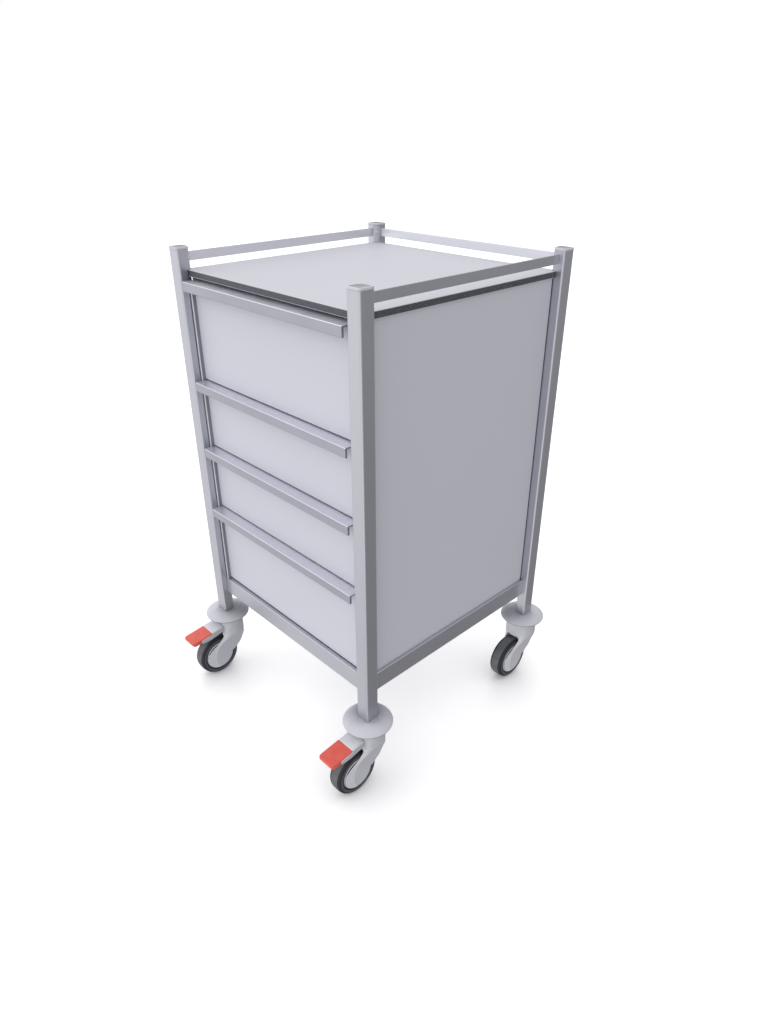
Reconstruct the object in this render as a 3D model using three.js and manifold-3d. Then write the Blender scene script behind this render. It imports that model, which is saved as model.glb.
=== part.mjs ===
// Mobile bedside cabinet: four corner posts on castors, a worktop with a gallery rail, and four drawers.
//
// Frame: millimetres, +Z up, +Y to the back, +X to the right of someone facing the drawers.
// The origin is on the floor, at the middle of the whole outline seen from above.

import * as THREE from 'three';
import { mergeVertices } from 'three/addons/utils/BufferGeometryUtils.js';
import Module from 'manifold-3d';

// ---------------------------------------------------------------- driving dimensions

const WIDTH = 530; // over the posts
const DEPTH = 530;
const CLEARANCE = 0.3; // between pieces that touch

const POST = 30; // square extrusion
const POST_LENGTH = 813.7;
const POST_WALL = 2;
const POST_CORNER = 4.5; // radius of the three outer corners
const POST_INNER_CORNER = 15; // radius of the corner that faces the middle of the cabinet
const POST_BORE_CORNER = 2;

const WHEEL_RADIUS = 50;
const WHEEL_TRAIL = 43; // axle ahead of the swivel axis
const AXLE_DROP = 114.5; // axle below the foot of the post
const POST_FOOT = WHEEL_RADIUS + AXLE_DROP; // height of the foot of the post above the floor

// Heights above the foot of the post
const RAIL_BOTTOM = 51;
const RAIL_TOP = 91.5;
const TOP_UNDERSIDE = 765.5;
const TOP_THICKNESS = 12;
const GALLERY_BOTTOM = 790.4;
const GALLERY_HEIGHT = 17;
const DRAWER_TOPS = [759.8, 566.3, 423.0, 280.6]; // top of each handle, from the top drawer down

// Distances in from the outer faces of the posts
const RAIL_INSET = 14;
const PANEL_INSET = 21;
const TOP_SIDE_INSET = 16.3;
const TOP_FRONT_INSET = 18.7;
const GALLERY_INSET = 12;
const FRONT_INSET = 23; // face of the drawer fronts

// Sections and thicknesses
const RAIL_THICKNESS = 16;
const RAIL_WALL = 2;
const RAIL_CORNER = 1.5;
const GALLERY_THICKNESS = 4;
const GALLERY_CORNER = 0.6;
const PANEL_THICKNESS = 6;
const BASE_THICKNESS = 12;
const FRONT_THICKNESS = 16;
const FRONT_SIDE_GAP = 2; // between a drawer front and the post beside it
const FRONT_GAP = 2.5; // between a drawer front and the handle or rail below it

const HANDLE_LENGTH = 452;
const HANDLE_REACH = 25; // from the drawer front to the face of the grip
const HANDLE_LIP = 18.2;
const HANDLE_WALL = 2.5;
const HANDLE_GRIP = 4.4; // thickness of the lip

const TRAY_WIDTH = 444;
const TRAY_LENGTH = 426;
const TRAY_WALL = 3;
const TRAY_CORNER = 12;
const TRAY_RISE = 9; // floor of the tray above the lower edge of its front
const TRAY_SHARE = 0.62; // height of the tray as a share of its front
const FLANGE_THICKNESS = 5;
const FLANGE_WIDTH = 12.4;

const RUNNER_LENGTH = 428;
const RUNNER_WALL = 1.5;
const RUNNER_WEB = 24;
const RUNNER_DEPTH = 12;
const RUNNER_START = 40; // front end of the runner behind the front faces of the posts

const CAP_OVERHANG = 0.5;
const CAP_LIP = 4;
const CAP_PLUG = 12;

const DISC_RADIUS = 50;
const DISC_DROP = 14;
const DISC_PLATEAU = 22;
const STEM_RADIUS = 12.6;
const STEM_HEIGHT = 38;
const SPIGOT_RADIUS = 7;
const SPIGOT_DROP = 40;

const HOUSING_RADIUS = 33;
const HOUSING_BOTTOM = 60; // below the foot of the post
const LEG_INNER = 16.6; // half the gap between the fork legs
const LEG_OUTER = 19.8;
const LEG_EYE = 34.2; // radius of the leg round the axle
const AXLE_RADIUS = 5;

const HUB_RADIUS = 35.2;
const HUB_HALF_WIDTH = 15.2;
const TYRE_HALF_WIDTH = 16.2;

const LEVER_PIVOT_AHEAD = 20; // pivot ahead of the swivel axis
const LEVER_PIVOT_DROP = 45;
const LEVER_HALF_WIDTH = 21;
const LEVER_ROOT_HALF_WIDTH = 15;
const PIVOT_RADIUS = 3;
const PEDAL_BACK = 59;
const PEDAL_TIP = 113; // front edge of the pedal ahead of the swivel axis

const ARC_STEPS = 3; // half the number of sides on a quarter round of an outline
const CASTOR_SIDES = 24; // sides on the round castor parts
const TYRE_SIDES = 32;

// ---------------------------------------------------------------- materials

function finish(color, roughness, metalness) {
  return new THREE.MeshStandardMaterial({ color, roughness, metalness });
}

const aluminium = finish(0xc9c9d0, 0.38, 0.85);
const capPlastic = finish(0xdcdce2, 0.45, 0);
const laminate = finish(0xd3d3dc, 0.42, 0);
const darkCore = finish(0x3a3a42, 0.5, 0);
const trayPlastic = finish(0xdfdfe2, 0.5, 0);
const steel = finish(0xb4b6ba, 0.35, 0.9);
const castorPlastic = finish(0xd0d0d8, 0.4, 0);
const hubPlastic = finish(0xc6c6cf, 0.42, 0);
const rubber = finish(0x4c4c55, 0.7, 0);
const pedalRed = finish(0xe0604f, 0.45, 0);

// ---------------------------------------------------------------- geometry helpers

const wasm = await Module();
wasm.setup();

/** A manifold solid from a closed three.js geometry. */
function solid(geometry) {
  const bare = geometry.index ? geometry.clone() : geometry;
  bare.deleteAttribute('normal');
  bare.deleteAttribute('uv');
  const merged = mergeVertices(bare, 1e-4);
  return new wasm.Manifold(new wasm.Mesh({
    numProp: 3,
    vertProperties: new Float32Array(merged.attributes.position.array),
    triVerts: new Uint32Array(merged.index.array),
  }));
}

/** A three.js geometry from a manifold solid. */
function geometryOf(body) {
  const mesh = body.getMesh();
  const geometry = new THREE.BufferGeometry();
  geometry.setAttribute('position', new THREE.BufferAttribute(mesh.vertProperties, 3));
  geometry.setIndex(new THREE.BufferAttribute(mesh.triVerts, 1));
  return geometry;
}

/** An upright box given by its lowest and highest corners. */
function box(low, high) {
  const size = high.map((value, axis) => value - low[axis]);
  const middle = high.map((value, axis) => (value + low[axis]) / 2);
  return new THREE.BoxGeometry(...size).translate(...middle);
}

/** A rectangle centred on the origin, with a radius for each corner, from low X low Y anticlockwise. */
function roundedRectangle(width, depth, radii) {
  const shape = new THREE.Shape();
  const signs = [[-1, -1], [1, -1], [1, 1], [-1, 1]];
  signs.forEach(([signX, signY], index) => {
    const radius = radii[index];
    const start = Math.PI * (1 + index / 2);
    const x = signX * (width / 2 - radius);
    const y = signY * (depth / 2 - radius);
    shape.absarc(x, y, radius, start, start + Math.PI / 2);
  });
  return shape;
}

/** An outline in X and Y, extruded upwards from a height. */
function extrudeUp(shape, bottom, height, steps = ARC_STEPS) {
  const options = { depth: height, bevelEnabled: false, curveSegments: steps };
  return new THREE.ExtrudeGeometry(shape, options).translate(0, 0, bottom);
}

/** An outline in Y and Z, extruded along X and centred on X = middle. */
function extrudeAcross(shape, length, middle = 0, steps = ARC_STEPS) {
  const toSide = new THREE.Matrix4().makeBasis(
    new THREE.Vector3(0, 1, 0), new THREE.Vector3(0, 0, 1), new THREE.Vector3(1, 0, 0));
  const options = { depth: length, bevelEnabled: false, curveSegments: steps };
  return new THREE.ExtrudeGeometry(shape, options)
    .translate(0, 0, -length / 2).applyMatrix4(toSide).translate(middle, 0, 0);
}

/** An outline in X and Z, extruded along Y from a start. */
function extrudeBack(shape, start, length) {
  const options = { depth: length, bevelEnabled: false, curveSegments: ARC_STEPS };
  return new THREE.ExtrudeGeometry(shape, options)
    .rotateX(Math.PI / 2).translate(0, start + length, 0);
}

/** A polygon through a list of points. */
function polygon(points) {
  return new THREE.Shape(points.map(([x, y]) => new THREE.Vector2(x, y)));
}

/** A profile of radius and height, turned about Z. It runs up the outside, from axis to axis. */
function turned(profile, sides) {
  const points = profile.map(([radius, height]) => new THREE.Vector2(radius, height));
  return new THREE.LatheGeometry(points, sides).rotateX(Math.PI / 2);
}

/** A closed profile of radius and offset, turned about X. */
function turnedAcross(profile, sides) {
  return turned(profile, sides).rotateY(Math.PI / 2);
}

/** A round bar along X. */
function crossBar(radius, length, sides, y, z) {
  return new THREE.CylinderGeometry(radius, radius, length, sides).rotateZ(Math.PI / 2).translate(0, y, z);
}

function part(name, geometry, material) {
  const mesh = new THREE.Mesh(geometry, material);
  mesh.name = name;
  return mesh;
}

// ---------------------------------------------------------------- the cabinet's corners

const POST_X = (WIDTH - POST) / 2;
const POST_Y = (DEPTH - POST) / 2;

// Each turn about Z brings the rounded corner of a front left post round to face the middle.
const CORNERS = [
  { name: 'front_left', x: -POST_X, y: -POST_Y, turn: 0, braked: true },
  { name: 'front_right', x: POST_X, y: -POST_Y, turn: Math.PI / 2, braked: true },
  { name: 'rear_right', x: POST_X, y: POST_Y, turn: Math.PI, braked: false },
  { name: 'rear_left', x: -POST_X, y: POST_Y, turn: -Math.PI / 2, braked: false },
];

/** The outline of a post, grown outwards by a margin. */
function postOutline(margin = 0) {
  const side = POST + 2 * margin;
  const corner = POST_CORNER + margin;
  return roundedRectangle(side, side, [corner, corner, POST_INNER_CORNER + margin, corner]);
}

function postGeometry() {
  const outline = postOutline();
  const bore = POST - 2 * POST_WALL;
  const radii = Array(4).fill(POST_BORE_CORNER);
  radii[2] = POST_INNER_CORNER - POST_WALL;
  outline.holes.push(roundedRectangle(bore, bore, radii));
  return extrudeUp(outline, 0, POST_LENGTH);
}

/** A plug that closes the top of a post, with a lip a little larger than the post. */
function capGeometry() {
  const bevel = 1.2;
  const lip = new THREE.ExtrudeGeometry(postOutline(CAP_OVERHANG - bevel), {
    depth: CAP_LIP - 2 * bevel,
    bevelThickness: bevel,
    bevelSize: bevel,
    bevelSegments: 1,
    curveSegments: ARC_STEPS,
  }).translate(0, 0, POST_LENGTH + CLEARANCE + bevel);
  const side = POST - 2 * (POST_WALL + CLEARANCE);
  const radii = Array(4).fill(POST_BORE_CORNER);
  radii[2] = POST_INNER_CORNER - POST_WALL;
  const plugBottom = POST_LENGTH - CAP_PLUG;
  const plug = extrudeUp(roundedRectangle(side, side, radii), plugBottom, CAP_PLUG + CLEARANCE + bevel);
  return geometryOf(solid(lip).add(solid(plug)));
}

function addPosts(group) {
  for (const corner of CORNERS) {
    const stand = new THREE.Group();
    stand.position.set(corner.x, corner.y, POST_FOOT);
    stand.rotation.z = corner.turn;
    stand.add(part(`post_${corner.name}`, postGeometry(), aluminium));
    stand.add(part(`post_cap_${corner.name}`, capGeometry(), capPlastic));
    group.add(stand);
  }
}

// ---------------------------------------------------------------- rails

const SPAN_X = WIDTH / 2 - POST - CLEARANCE; // half the clear distance between posts
const SPAN_Y = DEPTH / 2 - POST - CLEARANCE;

/** A rectangular tube that lies along X, centred on the origin in X and Y. */
function railGeometry(halfSpan) {
  const height = RAIL_TOP - RAIL_BOTTOM;
  const outline = roundedRectangle(RAIL_THICKNESS, height, Array(4).fill(RAIL_CORNER));
  const boreWidth = RAIL_THICKNESS - 2 * RAIL_WALL;
  const boreHeight = height - 2 * RAIL_WALL;
  outline.holes.push(roundedRectangle(boreWidth, boreHeight, Array(4).fill(RAIL_CORNER / 2)));
  return extrudeAcross(outline, 2 * halfSpan, 0, 2);
}

function addBottomRails(group) {
  const away = RAIL_INSET + RAIL_THICKNESS / 2;
  const middle = POST_FOOT + (RAIL_BOTTOM + RAIL_TOP) / 2;
  const places = [
    ['bottom_rail_front', 0, away - DEPTH / 2, SPAN_X, 0],
    ['bottom_rail_rear', 0, DEPTH / 2 - away, SPAN_X, 0],
    ['bottom_rail_left', away - WIDTH / 2, 0, SPAN_Y, Math.PI / 2],
    ['bottom_rail_right', WIDTH / 2 - away, 0, SPAN_Y, Math.PI / 2],
  ];
  for (const [name, x, y, halfSpan, turn] of places) {
    const rail = part(name, railGeometry(halfSpan), aluminium);
    rail.position.set(x, y, middle);
    rail.rotation.z = turn;
    group.add(rail);
  }
}

/** Flat bars on three sides keep things from rolling off the worktop. The front stays open. */
function addGallery(group) {
  const away = GALLERY_INSET + GALLERY_THICKNESS / 2;
  const middle = POST_FOOT + GALLERY_BOTTOM + GALLERY_HEIGHT / 2;
  const places = [
    ['gallery_rail_rear', 0, DEPTH / 2 - away, SPAN_X, 0],
    ['gallery_rail_left', away - WIDTH / 2, 0, SPAN_Y, Math.PI / 2],
    ['gallery_rail_right', WIDTH / 2 - away, 0, SPAN_Y, Math.PI / 2],
  ];
  for (const [name, x, y, halfSpan, turn] of places) {
    const outline = roundedRectangle(GALLERY_THICKNESS, GALLERY_HEIGHT, Array(4).fill(GALLERY_CORNER));
    const bar = part(name, extrudeAcross(outline, 2 * halfSpan, 0, 1), aluminium);
    bar.position.set(x, y, middle);
    bar.rotation.z = turn;
    group.add(bar);
  }
}

// ---------------------------------------------------------------- panels

/** The worktop reaches between the posts and is notched round each of them. */
function worktopGeometry() {
  const halfX = WIDTH / 2 - TOP_SIDE_INSET;
  const halfY = DEPTH / 2 - TOP_FRONT_INSET;
  let slab = solid(box([-halfX, -halfY, TOP_UNDERSIDE], [halfX, halfY, TOP_UNDERSIDE + TOP_THICKNESS]));
  for (const corner of CORNERS) {
    const margin = CAP_OVERHANG + CLEARANCE;
    const notch = extrudeUp(postOutline(margin), TOP_UNDERSIDE - 1, TOP_THICKNESS + 2)
      .rotateZ(corner.turn).translate(corner.x, corner.y, 0);
    slab = slab.subtract(solid(notch));
  }
  return geometryOf(slab);
}

function addPanels(group) {
  const bottom = RAIL_TOP + CLEARANCE;
  const top = TOP_UNDERSIDE - CLEARANCE;
  const outerX = WIDTH / 2 - PANEL_INSET;
  const outerY = DEPTH / 2 - PANEL_INSET;
  const baseX = WIDTH / 2 - RAIL_INSET - RAIL_THICKNESS - 2 * CLEARANCE;
  const baseY = DEPTH / 2 - RAIL_INSET - RAIL_THICKNESS - 2 * CLEARANCE;
  const panels = [
    ['side_panel_left', [-outerX, -SPAN_Y, bottom], [PANEL_THICKNESS - outerX, SPAN_Y, top]],
    ['side_panel_right', [outerX - PANEL_THICKNESS, -SPAN_Y, bottom], [outerX, SPAN_Y, top]],
    ['back_panel', [-SPAN_X, outerY - PANEL_THICKNESS, bottom], [SPAN_X, outerY, top]],
    ['base_panel', [-baseX, -baseY, RAIL_TOP - BASE_THICKNESS], [baseX, baseY, RAIL_TOP]],
  ];
  for (const [name, low, high] of panels) {
    const panel = part(name, box(low, high), laminate);
    panel.position.z = POST_FOOT;
    group.add(panel);
  }
  const worktop = part('worktop', worktopGeometry(), darkCore);
  worktop.position.z = POST_FOOT;
  group.add(worktop);
}

// ---------------------------------------------------------------- drawers

const FRONT_FACE = FRONT_INSET - DEPTH / 2; // Y of the face of a drawer front
const FRONT_BACK = FRONT_FACE + FRONT_THICKNESS;
const TRAY_FRONT = FRONT_BACK + CLEARANCE;

/** Top and bottom of each drawer front, and the top of its handle, above the foot of the post. */
const DRAWERS = DRAWER_TOPS.map((handleTop, index) => {
  const below = index + 1 < DRAWER_TOPS.length ? DRAWER_TOPS[index + 1] : RAIL_TOP;
  const bottom = below + FRONT_GAP;
  const top = handleTop - HANDLE_WALL - CLEARANCE;
  const trayBottom = bottom + TRAY_RISE;
  const trayTop = trayBottom + TRAY_SHARE * (top - bottom);
  return { name: `drawer_${index + 1}`, handleTop, bottom, top, trayBottom, trayTop };
});

/**
 * A grip rail that caps the top edge of a drawer front: a channel over the edge, a web that reaches
 * forward, and a thick lip that hangs down. Y is 0 at the face of the front.
 */
function handleGeometry() {
  const tip = -HANDLE_REACH;
  const back = FRONT_THICKNESS + CLEARANCE;
  const channel = 14;
  const skin = 1.5;
  const round = 1.5;
  const outline = new THREE.Shape();
  outline.moveTo(back + skin, 0);
  outline.lineTo(tip + round, 0);
  outline.absarc(tip + round, -round, round, Math.PI / 2, Math.PI);
  outline.lineTo(tip, -HANDLE_LIP);
  outline.lineTo(tip + HANDLE_GRIP, -HANDLE_LIP);
  outline.lineTo(tip + HANDLE_GRIP, -HANDLE_WALL);
  outline.lineTo(-CLEARANCE - skin, -HANDLE_WALL);
  outline.lineTo(-CLEARANCE - skin, -channel / 2);
  outline.lineTo(-CLEARANCE, -channel / 2);
  outline.lineTo(-CLEARANCE, -HANDLE_WALL);
  outline.lineTo(back, -HANDLE_WALL);
  outline.lineTo(back, -channel);
  outline.lineTo(back + skin, -channel);
  return extrudeAcross(outline, HANDLE_LENGTH, 0, 2);
}

/** A moulded tray, open at the top, with a flange along each side that slides in the runners. */
function trayGeometry(drawer) {
  const middleY = TRAY_FRONT + TRAY_LENGTH / 2;
  const height = drawer.trayTop - drawer.trayBottom;
  const outerRadii = Array(4).fill(TRAY_CORNER);
  const innerRadii = Array(4).fill(TRAY_CORNER - TRAY_WALL);
  const outer = roundedRectangle(TRAY_WIDTH, TRAY_LENGTH, outerRadii);
  const inner = roundedRectangle(TRAY_WIDTH - 2 * TRAY_WALL, TRAY_LENGTH - 2 * TRAY_WALL, innerRadii);
  let tray = solid(extrudeUp(outer, drawer.trayBottom, height, 3));
  for (const side of [-1, 1]) {
    const wallX = side * (TRAY_WIDTH / 2 - TRAY_WALL / 2);
    const tipX = side * (TRAY_WIDTH / 2 + FLANGE_WIDTH);
    const low = [Math.min(wallX, tipX), TRAY_CORNER - TRAY_LENGTH / 2, drawer.trayTop - FLANGE_THICKNESS];
    const high = [Math.max(wallX, tipX), TRAY_LENGTH / 2 - TRAY_CORNER, drawer.trayTop];
    tray = tray.add(solid(box(low, high)));
  }
  const hollow = extrudeUp(inner, drawer.trayBottom + TRAY_WALL, height, 3);
  return geometryOf(tray.subtract(solid(hollow))).translate(0, middleY, 0);
}

/** A runner, side 1 right or -1 left: an upright web with two lips that hold the tray's flange. */
function runnerGeometry(side) {
  const wallX = WIDTH / 2 - PANEL_INSET - PANEL_THICKNESS - CLEARANCE;
  const slot = FLANGE_THICKNESS / 2 + 0.5;
  const lip = slot + RUNNER_WALL;
  const inner = wallX - RUNNER_WALL;
  const tip = wallX - RUNNER_DEPTH;
  const outline = [
    [wallX, -lip], [wallX, RUNNER_WEB - lip], [inner, RUNNER_WEB - lip], [inner, lip], [tip, lip],
    [tip, slot], [inner, slot], [inner, -slot], [tip, -slot], [tip, -lip],
  ].map(([x, z]) => [side * x, z]);
  return extrudeBack(polygon(outline), RUNNER_START - DEPTH / 2, RUNNER_LENGTH);
}

function addDrawers(group) {
  for (const drawer of DRAWERS) {
    const slide = new THREE.Group();
    slide.position.z = POST_FOOT;
    const halfFront = WIDTH / 2 - POST - FRONT_SIDE_GAP;
    const front = box([-halfFront, FRONT_FACE, drawer.bottom], [halfFront, FRONT_BACK, drawer.top]);
    slide.add(part(`${drawer.name}_front`, front, laminate));
    const handle = part(`${drawer.name}_handle`, handleGeometry(), aluminium);
    handle.position.set(0, FRONT_FACE, drawer.handleTop);
    slide.add(handle);
    slide.add(part(`${drawer.name}_tray`, trayGeometry(drawer), trayPlastic));
    group.add(slide);
    for (const [side, sideName] of [[-1, 'left'], [1, 'right']]) {
      const runner = part(`runner_${sideName}_${drawer.name}`, runnerGeometry(side), steel);
      runner.position.z = POST_FOOT + drawer.trayTop - FLANGE_THICKNESS / 2;
      group.add(runner);
    }
  }
}

// ---------------------------------------------------------------- castors

// Heights in a castor are measured down from the foot of its post, and Y runs back from its swivel axis.

/** A bumper disc with a stem that plugs into the post, and a spigot below that the fork turns on. */
function bumperGeometry() {
  const rimTop = -DISC_DROP + 4;
  const rise = -CLEARANCE;
  return turned([
    [0, -SPIGOT_DROP],
    [SPIGOT_RADIUS, -SPIGOT_DROP],
    [SPIGOT_RADIUS, -DISC_DROP],
    [DISC_RADIUS, -DISC_DROP],
    [DISC_RADIUS, rimTop - 1],
    [DISC_RADIUS - 2.5, rimTop + 1],
    [DISC_RADIUS - 14, rise - 3.8],
    [DISC_PLATEAU, rise],
    [STEM_RADIUS, rise],
    [STEM_RADIUS, STEM_HEIGHT],
    [0, STEM_HEIGHT],
  ], CASTOR_SIDES);
}

/** The side of a fork leg, in Y and Z: it sweeps forward from the housing and ends round the axle. */
function legOutline() {
  const eye = new THREE.Vector2(-WHEEL_TRAIL, -AXLE_DROP);
  const rearAngle = THREE.MathUtils.degToRad(-6);
  const frontAngle = THREE.MathUtils.degToRad(104);
  const outwards = (angle) => new THREE.Vector2(Math.cos(angle), Math.sin(angle));
  const clockwise = (angle) => new THREE.Vector2(Math.sin(angle), -Math.cos(angle));
  const rear = eye.clone().addScaledVector(outwards(rearAngle), LEG_EYE);
  const rearHandle = rear.clone().add(new THREE.Vector2(4, 1.5));
  const front = eye.clone().addScaledVector(outwards(frontAngle), LEG_EYE);
  const frontHandle = front.clone().addScaledVector(clockwise(frontAngle), 7);
  const outline = new THREE.Shape();
  outline.moveTo(-18, -40);
  outline.lineTo(20, -40);
  outline.lineTo(22.5, -54);
  outline.bezierCurveTo(27, -78, 19, -97, 5, -110);
  outline.bezierCurveTo(1, -114, rearHandle.x, rearHandle.y, rear.x, rear.y);
  outline.absarc(eye.x, eye.y, LEG_EYE, rearAngle, frontAngle - 2 * Math.PI, true);
  outline.bezierCurveTo(frontHandle.x, frontHandle.y, -43, -58, -25, -54);
  return outline;
}

/** A round housing with two legs and the axle between them. A braked one has a pocket for the lever. */
function forkGeometry(braked) {
  const top = -DISC_DROP - CLEARANCE;
  const housing = turned([
    [0, -HOUSING_BOTTOM], [HOUSING_RADIUS, -HOUSING_BOTTOM],
    [HOUSING_RADIUS, top - 4], [HOUSING_RADIUS - 3, top], [0, top],
  ], CASTOR_SIDES);
  const socketRadius = SPIGOT_RADIUS + 0.4;
  const socket = turned([
    [0, -SPIGOT_DROP - 1], [socketRadius, -SPIGOT_DROP - 1], [socketRadius, top + 1], [0, top + 1],
  ], CASTOR_SIDES);
  let fork = solid(housing).subtract(solid(socket));
  if (braked) {
    const half = LEVER_ROOT_HALF_WIDTH + 0.5;
    fork = fork.subtract(solid(box([-half, -HOUSING_RADIUS - 1, -HOUSING_BOTTOM - 1], [half, -11, -26])));
    const pin = crossBar(PIVOT_RADIUS, 2 * half + 4, 12, -LEVER_PIVOT_AHEAD, -LEVER_PIVOT_DROP);
    fork = fork.add(solid(pin));
  }
  const thickness = LEG_OUTER - LEG_INNER;
  for (const side of [-1, 1]) {
    const middle = side * (LEG_INNER + thickness / 2);
    fork = fork.add(solid(extrudeAcross(legOutline(), thickness, middle, 6)));
  }
  const axle = crossBar(AXLE_RADIUS, 2 * LEG_OUTER - 2, 16, -WHEEL_TRAIL, -AXLE_DROP);
  return geometryOf(fork.add(solid(axle)));
}

/** The wheel's core: a rim, a thinner web and a boss with the bore for the axle. */
function hubGeometry() {
  const half = HUB_HALF_WIDTH;
  const bore = AXLE_RADIUS + 0.3;
  const profile = [
    [bore, -half], [13, -half], [13, -half + 4], [HUB_RADIUS - 5, -half + 4], [HUB_RADIUS - 5, -half],
    [HUB_RADIUS, -half], [HUB_RADIUS, half], [HUB_RADIUS - 5, half], [HUB_RADIUS - 5, half - 4],
    [13, half - 4], [13, half], [bore, half], [bore, -half],
  ];
  return turnedAcross(profile, CASTOR_SIDES);
}

/** A solid rubber tyre with a rounded tread. */
function tyreGeometry() {
  const inner = HUB_RADIUS + CLEARANCE;
  const half = TYRE_HALF_WIDTH;
  const profile = [
    [inner, -half], [WHEEL_RADIUS - 6, -half], [WHEEL_RADIUS - 1.8, -half + 3], [WHEEL_RADIUS, -half + 9],
    [WHEEL_RADIUS, half - 9], [WHEEL_RADIUS - 1.8, half - 3], [WHEEL_RADIUS - 6, half],
    [inner, half], [inner, -half],
  ];
  return turnedAcross(profile, TYRE_SIDES);
}

/** The brake lever: it pivots in the housing and reaches forward over the wheel, with a shoe beneath. */
function leverGeometry() {
  const bodyStart = -22;
  const body = polygon([
    [bodyStart, -32.5], [bodyStart, -51], [-40, -55], [-78, -56], [-86, -54], [-88, -50.5],
    [-88, -45.2], [CLEARANCE - PEDAL_BACK, -41.6], [CLEARANCE - PEDAL_BACK, -37.4],
  ]);
  const root = polygon([
    [-14, -40], [-14, -50], [-22, -54], [-40, -54], [-40, -35], [-30, -32.5], [-20, -34],
  ]);
  const shoe = polygon([[-44, -50], [-44, -58.7], [-52, -59.4], [-60, -60.6], [-66, -62.1], [-66, -50]]);
  const bore = crossBar(PIVOT_RADIUS + 0.3, 60, 20, -LEVER_PIVOT_AHEAD, -LEVER_PIVOT_DROP);
  const clearOfHousing = HOUSING_RADIUS + 1.3;
  const housing = turned([[0, -70], [clearOfHousing, -70], [clearOfHousing, -20], [0, -20]], 48);
  const lever = solid(extrudeAcross(body, 2 * LEVER_HALF_WIDTH))
    .subtract(solid(housing))
    .add(solid(extrudeAcross(root, 2 * LEVER_ROOT_HALF_WIDTH)))
    .add(solid(extrudeAcross(shoe, 24)))
    .subtract(solid(bore));
  return geometryOf(lever);
}

/** The foot plate on the end of the lever. */
function pedalGeometry() {
  const outline = polygon([
    [-PEDAL_BACK, -38], [-PEDAL_BACK, -41.2], [-88.4, -44.7], [-88.4, -52], [-108, -53],
    [-PEDAL_TIP, -48.5], [-PEDAL_TIP, -45.8], [-111.5, -44],
  ]);
  return extrudeAcross(outline, 2 * LEVER_HALF_WIDTH);
}

function addCastors(group) {
  for (const corner of CORNERS) {
    const castor = new THREE.Group();
    const prefix = `castor_${corner.name}`;
    castor.position.set(corner.x, corner.y, POST_FOOT);
    castor.add(part(`${prefix}_bumper`, bumperGeometry(), castorPlastic));
    castor.add(part(`${prefix}_fork`, forkGeometry(corner.braked), castorPlastic));
    const wheel = new THREE.Group();
    wheel.position.set(0, -WHEEL_TRAIL, -AXLE_DROP);
    wheel.add(part(`${prefix}_hub`, hubGeometry(), hubPlastic));
    wheel.add(part(`${prefix}_tyre`, tyreGeometry(), rubber));
    castor.add(wheel);
    if (corner.braked) {
      castor.add(part(`${prefix}_brake_lever`, leverGeometry(), castorPlastic));
      castor.add(part(`${prefix}_brake_pedal`, pedalGeometry(), pedalRed));
    }
    group.add(castor);
  }
}

// ---------------------------------------------------------------- assembly

const cabinet = new THREE.Group();
addPosts(cabinet);
addBottomRails(cabinet);
addGallery(cabinet);
addPanels(cabinet);
addDrawers(cabinet);
addCastors(cabinet);

// The pedals reach further forward than the bumpers reach back, so the cabinet stands behind the origin.
cabinet.position.y = (PEDAL_TIP - DISC_RADIUS) / 2;

const model = new THREE.Group();
model.add(cabinet);

export default model;
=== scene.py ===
"""The looks of a mobile bedside cabinet, built round its CAD frame. Shapes are in millimetres here, and
mesh_of() turns them into metres. Castor shapes are in the castor's own frame: the swivel axis at the foot
of the post is the origin, +Y is to the back and the wheel trails to the front."""

import math

import bmesh
import bpy
import numpy as np
from mathutils import Euler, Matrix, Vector


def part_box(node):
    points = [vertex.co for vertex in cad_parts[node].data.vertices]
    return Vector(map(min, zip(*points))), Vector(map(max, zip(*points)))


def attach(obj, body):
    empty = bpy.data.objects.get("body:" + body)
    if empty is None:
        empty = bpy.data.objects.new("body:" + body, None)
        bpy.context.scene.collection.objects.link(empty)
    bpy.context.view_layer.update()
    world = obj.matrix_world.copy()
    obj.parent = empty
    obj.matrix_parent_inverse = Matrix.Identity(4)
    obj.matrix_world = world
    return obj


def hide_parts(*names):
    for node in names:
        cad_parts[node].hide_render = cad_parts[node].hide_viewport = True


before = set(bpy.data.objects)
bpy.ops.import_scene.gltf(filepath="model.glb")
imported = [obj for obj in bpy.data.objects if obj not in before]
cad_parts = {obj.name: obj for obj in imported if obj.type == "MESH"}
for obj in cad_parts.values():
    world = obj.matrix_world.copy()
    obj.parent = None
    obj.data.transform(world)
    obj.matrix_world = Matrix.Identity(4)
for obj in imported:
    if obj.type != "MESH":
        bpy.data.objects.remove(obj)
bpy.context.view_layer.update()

MM = 0.001
CLEARANCE = 0.3  # between pieces that touch
CORNERS = {
    "front_left": (-1, -1),
    "front_right": (1, -1),
    "rear_right": (1, 1),
    "rear_left": (-1, 1),
}
DRAWERS = ["drawer_1", "drawer_2", "drawer_3", "drawer_4"]

# ---------------------------------------------------------------- places taken from the frame


def box_mm(node):
    """The low and high corners of a CAD node's box."""
    low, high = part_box(node)
    return [v / MM for v in low], [v / MM for v in high]


post_low, post_high = box_mm("post_front_left")
other_low, other_high = box_mm("post_rear_right")
POST = post_high[0] - post_low[0]
FOOT = post_low[2]
POST_TOP = post_high[2]
CENTRE_Y = (post_low[1] + other_high[1]) / 2
POST_X = (other_low[0] + other_high[0]) / 2
POST_Y = (other_low[1] + other_high[1]) / 2 - CENTRE_Y


def post_middle(corner):
    """Where the middle of a post stands, in X and Y."""
    side, back = CORNERS[corner]
    return side * POST_X, CENTRE_Y + back * POST_Y


# ---------------------------------------------------------------- outlines


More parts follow.
